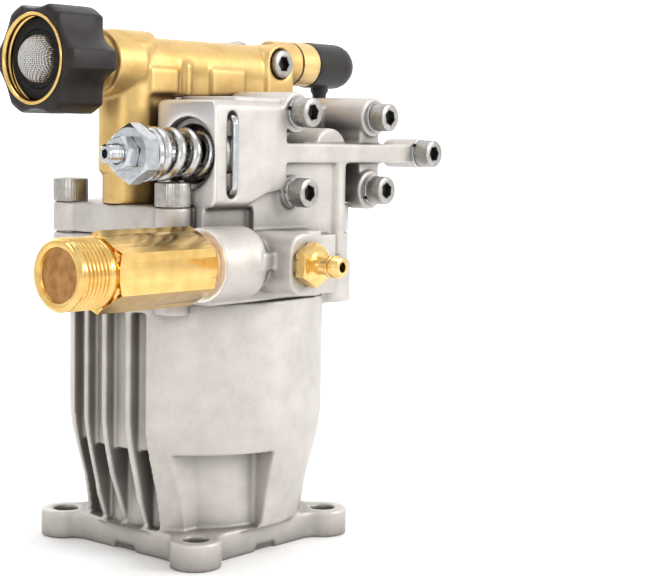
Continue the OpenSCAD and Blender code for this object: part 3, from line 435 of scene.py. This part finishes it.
def castPiece(node, c):
    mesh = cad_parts[node].data.copy()
    piece = bpy.data.objects.new("cast_" + node, mesh)
    bpy.context.collection.objects.link(piece)
    bm = bmesh.new()
    bm.from_mesh(mesh)
    bmesh.ops.remove_doubles(bm, verts=bm.verts, dist=1e-6)
    bm.to_mesh(mesh)
    bm.free()
    remesh = piece.modifiers.new("skin", "REMESH")
    remesh.mode = "VOXEL"
    remesh.voxel_size = c["voxel"] * mm
    shape = bpy.data.meshes.new_from_object(piece.evaluated_get(bpy.context.evaluated_depsgraph_get()))
    piece.modifiers.clear()
    soften(shape, c["passes"], c.get("keepBores", ()))
    piece.data = shape
    thin = piece.modifiers.new("thin", "DECIMATE")
    thin.ratio = c["keep"]
    bpy.context.view_layer.update()
    final = bpy.data.meshes.new_from_object(piece.evaluated_get(bpy.context.evaluated_depsgraph_get()))
    piece.modifiers.clear()
    piece.data = final
    final.shade_smooth()
    final.materials.clear()
    final.materials.append(finishes[c["finish"]])
    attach(piece, "pump")
    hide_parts(node)
    print("casting", node, len(final.polygons), "faces")


for node, c in castings.items():
    castPiece(node, c)

# cap screws
screwSet = {"knurls": 40, "knurlDepth": 0.12, "edge": 0.5}


def capScrew(bm, place, head, height, shank, length, socket):
    k = screwSet
    knurl = lambda a: head - k["knurlDepth"] * (0.5 + 0.5 * math.cos(a * k["knurls"]))
    hole = hexRadius(socket)
    # the hex socket takes the second material, near black as painted shade
    turned(bm, place, [(0, height - socket * 0.62), (hole, height - socket * 0.55), (hole, height - 0.25)],
           160, slotIndex=1)
    turned(bm, place, [(hole, height - 0.25), (lambda a: hole(a) + 0.3, height),
                       (head - k["edge"] - 0.1, height), (head - 0.15, height - 0.32),
                       (knurl, height - k["edge"] - 0.3), (knurl, 0.9),
                       (head - 0.1, 0.5), (head - 0.15, 0.1), (head - 0.4, 0), (shank / 2, 0),
                       (shank / 2, -length + 0.6), (shank / 2 - 0.6, -length), (0, -length)], 160)


manifoldScrews = {"spots": [(8.8, 151.1), (7.6, 123.9), (51.3, 150.2), (50.2, 124.1), (78.5, 137.3)],
                  "lengths": [38, 38, 38, 38, 16], "seat": -38.2, "washer": 1.4,
                  "twist": [12, 40, -18, 27, 5], "gap": 0.13, "rise": 0.22}


def manifoldScrewPieces(s):
    bm = bmesh.new()
    for (x, z), length, twist in zip(s["spots"], s["lengths"], s["twist"]):
        place = toMatrix("-y", (x, s["seat"] - s["washer"], z)) @ Matrix.Rotation(math.radians(twist), 4, "Z")
        capScrew(bm, place, 5, 6, 6, length, 5)
    finishPiece("manifoldScrewSet", bm, ["boltSteel", "socket"], "pump", ["manifold_screws"])
    bm = bmesh.new()
    for (x, z), twist in zip(s["spots"], s["twist"]):
        place = toMatrix("-y", (x, s["seat"], z)) @ Matrix.Rotation(math.radians(twist * 3 + 130), 4, "Z")
        arcSwept(bm, place, [(3.1, 0), (5.15, 0), (5.3, 0.12), (5.3, 1.25), (5.15, 1.38), (3.1, 1.38)],
                 s["gap"], s["rise"])
    finishPiece("splitWashers", bm, ["zinc"], "pump", ["lock_washers"])


manifoldScrewPieces(manifoldScrews)


def headBoltPiece():
    bm = bmesh.new()
    twist = iter((10, 35, -20, 50))
    for x in (-37.2, 37.2):
        for y in (-25, 25):
            place = toMatrix("z", (x, y, 119.4)) @ Matrix.Rotation(math.radians(next(twist)), 4, "Z")
            capScrew(bm, place, 6, 8, 8, 33, 6)
    finishPiece("headBoltSet", bm, ["boltSteel", "socket"], "pump", ["head_bolts"])


headBoltPiece()


def inletScrewPiece():
    bm = bmesh.new()
    capScrew(bm, toMatrix("-y", (31.5, -6, 168.8)), 5, 6, 6, 22, 5)
    finishPiece("inletScrew", bm, ["boltSteel", "socket"], "pump", ["inlet_manifold_screw"])


inletScrewPiece()
print("screws made")

outletSet = {"tip": -99.4, "y": -40.3, "z": 101.4, "thread": 11, "pitch": 1.5, "depth": 0.85, "flats": 22,
             "bore": 8, "hexFrom": 14.9, "hexTo": 57.6}


def outletPiece(o):
    bm = bmesh.new()
    place = toMatrix("x", (o["tip"], o["y"], o["z"]))
    side = hexRadius(o["flats"])
    chamfer = lambda z, sign, r0: (lambda a: z + sign * max(0, side(a) - r0) * 0.62)
    # the bore takes the second material, darker brass as painted shade
    turned(bm, place, [(5, 71.3), (5, 21), (o["bore"], 18), (o["bore"], 1.3)], 192, slotIndex=1)
    turned(bm, place, [
        (o["bore"], 1.3), (o["bore"] + 0.35, 0.45), (o["bore"] + 0.9, 0.1), (o["bore"] + 1.2, 0),
        (o["thread"] - 1.0, 0), (o["thread"] - 0.7, 0.12), (o["thread"] - 0.35, 0.7)]
        + threadRings(o["thread"], o["depth"], o["pitch"], 1.0, 13.3)
        + [(9.9, 13.5), (9.9, o["hexFrom"]), (10.6, o["hexFrom"]),
           (lambda a: min(side(a), 11.2), chamfer(o["hexFrom"], 1, 11.2)),
           (side, chamfer(o["hexFrom"] + 0.05, 1, 11.2)), (side, chamfer(o["hexTo"] - 1.6, -1, 10.9)),
           (lambda a: min(side(a), 10.9) - 0.25, o["hexTo"] - 0.35), (10.2, o["hexTo"]),
           (8.4, o["hexTo"]), (8.4, 71.3)], 192)
    bmesh.ops.holes_fill(bm, edges=[e for e in bm.edges if e.is_boundary], sides=400)
    finishPiece("outletFitting", bm, ["brass", "brassBoreShade"], "pump", ["outlet_fitting"], 30)
    bm = bmesh.new()
    loopTurned(bm, toMatrix("x", (-41.8, o["y"], o["z"])), [(8.5, 0), (9.5, 0), (9.8, 0.35), (9.8, 1.45),
                                                              (9.5, 1.8), (8.5, 1.8)], 96)
    finishPiece("outletWasher", bm, ["copper"], "pump", ["outlet_washer"])


outletPiece(outletSet)

unloaderSet = {"y": -25, "z": 136.6, "collar": -51.5, "tip": -67.2, "coilRadius": 6.9, "wire": 1.85,
               "turns": 5.4, "deadTurns": 0.9, "deadRise": 0.07,
               "from": -49.45, "to": -16.05, "nutFlats": 17, "nutHeight": 5.6,
               "lockFlats": 10, "lockHeight": 5}


def nutPiece(name, u, back, flats, height, bore, turn, body, node, material):
    # back is the face towards the pump
    bm = bmesh.new()
    side = hexRadius(flats, turn)
    flat = flats / 2 - 0.15
    slope = lambda a: max(0, side(a) - flat) * 0.55
    place = toMatrix("x", (back - height, u["y"], u["z"]))
    loopTurned(bm, place, [(bore, 0.6), (bore + 0.5, 0), (flat - 0.1, 0), (lambda a: min(side(a), flat), 0),
                           (side, slope), (side, lambda a: height - slope(a)),
                           (lambda a: min(side(a), flat), height), (bore + 0.5, height),
                           (bore, height - 0.6)], 144)
    finishPiece(name, bm, [material], body, [node], 30)


def unloaderPieces(u):
    bm = bmesh.new()
    place = toMatrix("x", (u["tip"], u["y"], u["z"]))
    turned(bm, place, [(0, 5), (1.35, 5), (1.35, 0.25), (1.6, 0), (2.3, 0), (2.6, 0.35)]
           + threadRings(3.0, 0.42, 1.0, 0.6, 21.0)
           + [(2.85, 21.4), (3, 22), (3, 58.6), (7.2, 58.6), (7.5, 58.9), (7.5, 63.4), (7.0, 63.9),
              (0, 63.9)])
    finishPiece("unloaderStem", bm, ["zinc"], "stem", ["unloader_stem"])
    nutPiece("adjustingNut", u, u["collar"] - 0.05, u["nutFlats"], u["nutHeight"], 3.02, 0,
             "big_nut", "adjusting_nut", "zinc")
    nutPiece("lockNut", u, u["collar"] - u["nutHeight"] - 0.1, u["lockFlats"], u["lockHeight"], 3.02,
             math.radians(14), "small_nut", "lock_nut", "zinc")
    bm = bmesh.new()
    loopTurned(bm, toMatrix("x", (u["collar"], u["y"], u["z"])),
               [(3.02, 0), (8.7, 0), (9, 0.3), (9, 1.7), (8.7, 2), (4.95, 2), (4.9, 4.7), (4.6, 5),
                (3.02, 5)])
    finishPiece("springCollar", bm, ["zinc"], "stem", ["unloader_collar"])
    # coil spring with closed, ground ends
    bm = bmesh.new()
    count = 420
    length = u["to"] - u["from"]
    lead = u["deadTurns"] / u["turns"]
    rise = u["deadRise"]
    points = []
    for k in range(count + 1):
        t = k / count
        a = -2 * math.pi * u["turns"] * t + 0.6
        if t < lead:
            s = (t / lead) ** 2 * rise
        elif t > 1 - lead:
            s = 1 - ((1 - t) / lead) ** 2 * rise
        else:
            s = rise + (t - lead) / (1 - 2 * lead) * (1 - 2 * rise)
        x = u["from"] + u["wire"] + (length - 2 * u["wire"]) * s
        points.append((x, u["y"] + u["coilRadius"] * math.cos(a), u["z"] + u["coilRadius"] * math.sin(a)))
    tube(bm, points, u["wire"], 18)
    spring = finishPiece("unloaderCoil", bm, ["spring"], "pump", ["unloader_spring"], 60)
    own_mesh(spring)
    # sleeve in the bore, with the grooves that show round the coil
    bm = bmesh.new()
    loopTurned(bm, toMatrix("x", (-28, u["y"], u["z"])),
               [(9.7, 0.4), (10.1, 0), (11.7, 0), (11.95, 0.3), (11.95, 3.6), (11.2, 3.8), (11.2, 6.2),
                (11.95, 6.4), (11.95, 19), (3.03, 19), (3.03, 12), (9.2, 12), (9.7, 11.4), (9.7, 6),
                (9.45, 5.6), (9.45, 4.6), (9.7, 4.2)])
    finishPiece("unloaderSleeve", bm, ["bore"], "pump", ["unloader_sleeve"])
    # wire clip that holds the sleeve
    bm = bmesh.new()
    leg, bend, face = 12.2, 2.4, -39.2
    half = [(-14.5, leg), (-20, leg), (-26, leg), (-32, leg)]
    for k in range(9):
        a = math.pi / 2 * k / 8
        half.append((face + bend - bend * math.sin(a), leg - bend + bend * math.cos(a)))
    path = half + [(y, -z) for y, z in reversed(half)]
    tube(bm, [(-23, y, u["z"] + z) for y, z in path], 1.1, 16)
    finishPiece("sleeveClip", bm, ["zinc"], "pump", ["retaining_clip"], 60)


unloaderPieces(unloaderSet)
print("unloader made")

barbSet = {"x": -10, "face": -60, "z": 101.4, "flats": 13}


def barbPiece(b):
    bm = bmesh.new()
    place = toMatrix("-y", (b["x"], b["face"] + 8, b["z"]))
    side = hexRadius(b["flats"], math.radians(30))
    top = 12.6
    turned(bm, place, [(0, 2), (3.2, 2), (3.2, 0.5), (3.4, 0), (4.6, 0), (4.95, 0.4), (4.95, 8), (6.2, 8),
                       (lambda a: min(side(a), 6.6), lambda a: 8 + max(0, side(a) - 6.6) * 0.5),
                       (side, 8.45), (side, lambda a: top - 0.1 - max(0, side(a) - 6.35) * 0.62),
                       (lambda a: min(side(a), 6.3), top), (4.6, top), (4.2, top + 0.15), (3.0, top + 0.35),
                       (2.9, top + 0.8), (2.9, 17.3), (3.3, 17.6), (3.6, 17.9), (3.6, 18.6), (3.3, 18.85),
                       (2.8, 19.0), (2.8, 19.2), (3.5, 19.4), (3.7, 19.6), (3.7, 21.0), (3.5, 21.3),
                       (2.95, 22.8),
                       (2.6, 23), (1.75, 23), (1.6, 22.8), (1.6, 12), (0, 12)], 144)
    finishPiece("detergentBarb", bm, ["brassY"], "pump", ["barb_fitting"], 34)


barbPiece(barbSet)

knobSet = {"front": -75, "back": -55, "z": 166, "radius": 18.3, "lobes": 6, "scallop": 2.7, "land": 0.3}


def knobPieces(k):
    bm = bmesh.new()
    place = toMatrix("x", (k["front"], 0, k["z"]))
    depth = k["back"] - k["front"]

    def outline(cut, extra=0.0):
        def r(a):
            # 0 at the middle of a scallop, 1 at the middle of a lobe
            t = abs((a / (2 * math.pi) * k["lobes"] + 0.5) % 1 - 0.5) * 2
            dip = max(0.0, 1 - (t / (1 - k["land"])) ** 2)
            return k["radius"] - cut - (k["scallop"] + extra) * dip
        return r
    loopTurned(bm, place, [
        (14.62, 0.0), (15.1, -0.1), (lambda a: (outline(1.2)(a) + 15.1) / 2, 0.0), (outline(1.1, -1.0), 0.15),
        (outline(0.35, -0.6), 0.7), (outline(0.05, -0.3), 1.6), (outline(0), 3.5), (outline(0), 9),
        (outline(0, 0.3), 15), (outline(0.1, 0.9), depth - 1.2), (outline(0.6, 1.2), depth - 0.35),
        (outline(1.5, 1.2), depth), (12.2, depth), (11.4, depth - 0.4), (11.4, 16.1), (14.62, 16.1)], 240)
    finishPiece("inletKnob", bm, ["knob"], "knob", ["inlet_knob"], 50)
    bm = bmesh.new()
    ring = toMatrix("x", (k["front"] - 0.6, 0, k["z"]))
    # the thread is cut into the bore, so its depth runs outwards
    loopTurned(bm, ring, [(9.3, 16.6), (9.3, 13), (12.6, 13), (13.2, 12.6)]
               + threadRings(13.2, -0.95, 2.2, 1.0, 12.6)[::-1]
               + [(13.25, 0.7), (13.6, 0.15), (13.8, 0), (14.3, 0), (14.55, 0.25), (14.55, 16.6)], 144)
    finishPiece("swivelInsert", bm, ["brass"], "knob", ["inlet_insert"], 40)


knobPieces(knobSet)

screenSet = {"seat": -73.2, "behind": 3.0, "base": 1.9, "z": 166, "radius": 8.0, "wires": 26, "wire": 0.13}


def screenPiece(s):
    # woven wire dome, each wire riding over and under the ones that cross it
    bm = bmesh.new()
    centre = Vector((s["seat"] + s["behind"], 0, s["z"]))
    place = toMatrix("x", (s["seat"], 0, s["z"]))
    loopTurned(bm, place, [(7.7, 0.6), (9.2, 0.6), (9.4, 0.8), (9.4, 1.4), (9.2, 1.6), (7.7, 1.6)], 72,
               slotIndex=1)
    half, pitch = s["radius"], 2 * s["radius"] / s["wires"]
    for family in (0, 1):
        for n in range(s["wires"]):
            u = -half + pitch * (n + 0.5)
            reach = math.sqrt(max(half * half - u * u - s["base"] ** 2, 0.1))
            count = max(8, int(reach * 2 / pitch * 3))
            points = []
            for k in range(count + 1):
                v = -reach + 2 * reach * k / count
                dome = math.sqrt(max(half * half - u * u - v * v, 0.0))
                wave = math.cos(v / pitch * math.pi) * (1 if (n + family) % 2 else -1) * s["wire"] * 0.9
                y, z = (u, v) if family else (v, u)
                away = Vector((-dome, y, z)).normalized()
                points.append(centre + Vector((-dome, y, z)) + away * wave)
            tube(bm, points, s["wire"], 6)
    finishPiece("strainerDome", bm, ["mesh", "rubber"], "knob", ["inlet_screen"], 60)


screenPiece(screenSet)


def washerPiece(s):
    # soft washer under the strainer's rim, its edges rounded
    bm = bmesh.new()
    loopTurned(bm, toMatrix("x", (s["seat"] + 0.5, 0, s["z"])), [(9.5, 0.2), (9.8, 0), (12.5, 0), (12.9, 0.3),
                                                                 (12.9, 1.0), (12.5, 1.2), (9.5, 1.2)], 72)
    finishPiece("inletWasher", bm, ["rubber"], "knob", ["inlet_washer"])


washerPiece(screenSet)
print("inlet swivel made")

reliefSet = {"x": 58, "y": 1.5, "z": 169.8}


def reliefPieces(v):
    bm = bmesh.new()
    place = toMatrix("x", (v["x"], v["y"], v["z"]))
    turned(bm, place, [(6.4, 0), (8.1, 0), (8.5, 0.4), (8.5, 15.2), (8.45, 16)]
           + [(8.45 * math.cos(t), 16 + 8.3 * math.sin(t)) for t in (0.2, 0.45, 0.7, 0.95, 1.2, 1.4)]
           + [(0, 24.3)])
    turned(bm, place, [(6.4, 0), (6.4, 8.8), (4.6, 9), (4.6, 14), (0, 14)])
    stem = toMatrix("-z", (v["x"] + 9, v["y"], v["z"] - 7))
    turned(bm, stem, [(3.4, 0), (3.4, 2.6), (2.9, 3.4), (2.6, 4.2), (2.6, 6.2), (3.1, 6.8), (2.6, 8.6),
                      (2.6, 9), (3.1, 9.6), (2.5, 11.4), (2.4, 12.9), (2.2, 13.1), (1.4, 13.1), (1.4, 4),
                      (0, 4)], 64)
    finishPiece("reliefCap", bm, ["cap"], "pump", ["thermal_valve_cap"])


reliefPieces(reliefSet)


plugSet = {"across": (-10, 12, 34), "seat": 19.6, "z": 136, "oilSeat": 48.6, "oilZ": 66, "ribs": 24}


def plugPieces(p):
    bm = bmesh.new()
    for x in p["across"]:
        place = toMatrix("y", (x, p["seat"], p["z"])) @ Matrix.Rotation(math.radians(12), 4, "Z")
        side = hexRadius(12)
        turned(bm, place, [(0, -8), (5.2, -8), (5.5, -7.6), (5.5, 0), (7.4, 0), (7.6, 0.2), (7.6, 1.0),
                           (7.3, 1.25), (side, 1.3), (side, lambda a: 5.4 - max(0, side(a) - 5.8) * 0.55),
                           (lambda a: min(side(a), 5.8), 5.6), (0, 5.6)], 120)
    finishPiece("galleryPlugs", bm, ["zinc"], "pump", ["gallery_plugs"], 32)
    bm = bmesh.new()
    place = toMatrix("y", (0, p["oilSeat"], p["oilZ"]))
    hole = hexRadius(8)
    grip = lambda a: 9.2 - 0.25 * (0.5 + 0.5 * math.cos(a * p["ribs"]))
    turned(bm, place, [(0, 1.8), (hole, 2), (hole, 4.8), (lambda a: hole(a) + 0.4, 5), (8.4, 5), (9.0, 4.6),
                       (grip, 4.0), (grip, 0.6), (8.8, 0), (6, 0), (6, -10.4), (5.4, -11), (0, -11)], 192)
    finishPiece("oilPlug", bm, ["cap"], "pump", ["oil_plug"], 40)


plugPieces(plugSet)

nodeFinish = {
    "injector_venturi": "brassY", "injector_ball": "ground",
    "thermal_valve_body": "goldCast", "thermal_piston": "ground", "oil_plug_washer": "rubber",
    "shaft_oil_seal": "rubber", "plunger_oil_seals": "rubber", "plunger_water_seals": "rubber",
    "block_o_ring": "rubber", "manifold_gasket": "rubber", "bearing_outer_race": "ground",
    "bearing_inner_race": "ground", "bearing_balls": "ground", "cam_shaft": "ground",
    "thrust_ball_ring": "ground", "wobble_plate": "ground", "plunger_1": "ground", "plunger_2": "ground",
    "plunger_3": "ground", "plunger_spring_1": "spring", "plunger_spring_2": "spring",
    "plunger_spring_3": "spring",
    "spring_seat_1": "boltSteel", "spring_seat_2": "boltSteel", "spring_seat_3": "boltSteel",
    "suction_valve_seats": "ground", "discharge_valve_seats": "ground", "suction_poppet_1": "brass",
    "suction_poppet_2": "brass", "suction_poppet_3": "brass", "discharge_poppet_1": "brass",
    "discharge_poppet_2": "brass", "discharge_poppet_3": "brass",
}
for node, material in nodeFinish.items():
    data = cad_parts[node].data
    data.materials.clear()
    data.materials.append(finishes[material])
print("inner parts finished:", len(nodeFinish))

# floor and light
studio = {"floor": (0.97, 0.97, 0.97), "sky": 0.8, "shade": 0.3, "flat": 1.6, "curve": 0.5,
          # glow is how strongly the floor paper glows as painted light, rising between glowFrom and glowTo
          # metres behind the pump
          "glow": 0.5, "glowFrom": 0.3, "glowTo": 2.2,
          # each lamp's place in metres, its size and its power
          "lamps": {"keyRight": ((0.45, -0.9, 0.55), 0.45, 5.4), "topSoft": ((-0.1, 0.0, 1.1), 0.6, 2.8),
                    "backRim": ((0.3, 0.9, 0.6), 0.7, 1.5), "stripLeft": ((-0.8, -0.45, 0.3), 0.14, 0.9)}}


def makeStudio(s):
    mesh = bpy.data.meshes.new("studioFloor")
    bm = bmesh.new()
    bmesh.ops.create_grid(bm, x_segments=60, y_segments=60, size=6)
    for v in bm.verts:
        # the paper curves up far behind the pump, so no horizon shows
        v.co.z = max(0.0, math.hypot(v.co.x, v.co.y) - s["flat"]) ** 2 * s["curve"]
    bm.to_mesh(mesh)
    bm.free()
    floor = bpy.data.objects.new("studioFloor", mesh)
    bpy.context.collection.objects.link(floor)
    f = Finish("floorPaper", Roughness=0.9, Emission_Strength=s["glow"])
    # painted light: the paper itself glows, more strongly far behind the pump, in place of a background lamp
    x, y, z = f.axes()
    lit = (x * 0.77 + y * 0.64).ramp(s["glowFrom"], s["glowTo"])
    f.set(Emission_Color=f.mix(lit, (0.0, 0.0, 0.0), (1.0, 1.0, 1.0)))
    f.set(Base_Color=f.mix(f.noise(400).ramp(0.3, 0.7) * 0.04, s["floor"], (0.86, 0.86, 0.86)))
    mesh.materials.append(f.mat)
    world = bpy.data.worlds.new("studioSky")
    world.use_nodes = True
    world.node_tree.nodes["Background"].inputs[0].default_value = (1, 1, 1, 1)
    # the hose side of the room is darker, which gives the metals something to reflect
    tree = world.node_tree
    room = tree.nodes.new("ShaderNodeTexCoord")
    split = tree.nodes.new("ShaderNodeSeparateXYZ")
    shade = tree.nodes.new("ShaderNodeMapRange")
    shade.interpolation_type = "SMOOTHSTEP"
    for key, value in {"From Min": -0.95, "From Max": 0.25, "To Min": s["shade"], "To Max": s["sky"]}.items():
        shade.inputs[key].default_value = value
    tree.links.new(room.outputs["Generated"], split.inputs[0])
    tree.links.new(split.outputs[0], shade.inputs["Value"])
    tree.links.new(shade.outputs[0], tree.nodes["Background"].inputs[1])
    bpy.context.scene.world = world
    for name, (spot, size, power) in s["lamps"].items():
        data = bpy.data.lights.new(name, "AREA")
        data.size = size
        data.energy = power
        lamp = bpy.data.objects.new(name, data)
        bpy.context.collection.objects.link(lamp)
        lamp.location = spot
        lamp.rotation_euler = (Vector((0, 0, 0.09)) - Vector(spot)).to_track_quat("-Z", "Y").to_euler()
    bpy.context.scene.view_settings.view_transform = "Standard"


makeStudio(studio)
print("studio made")
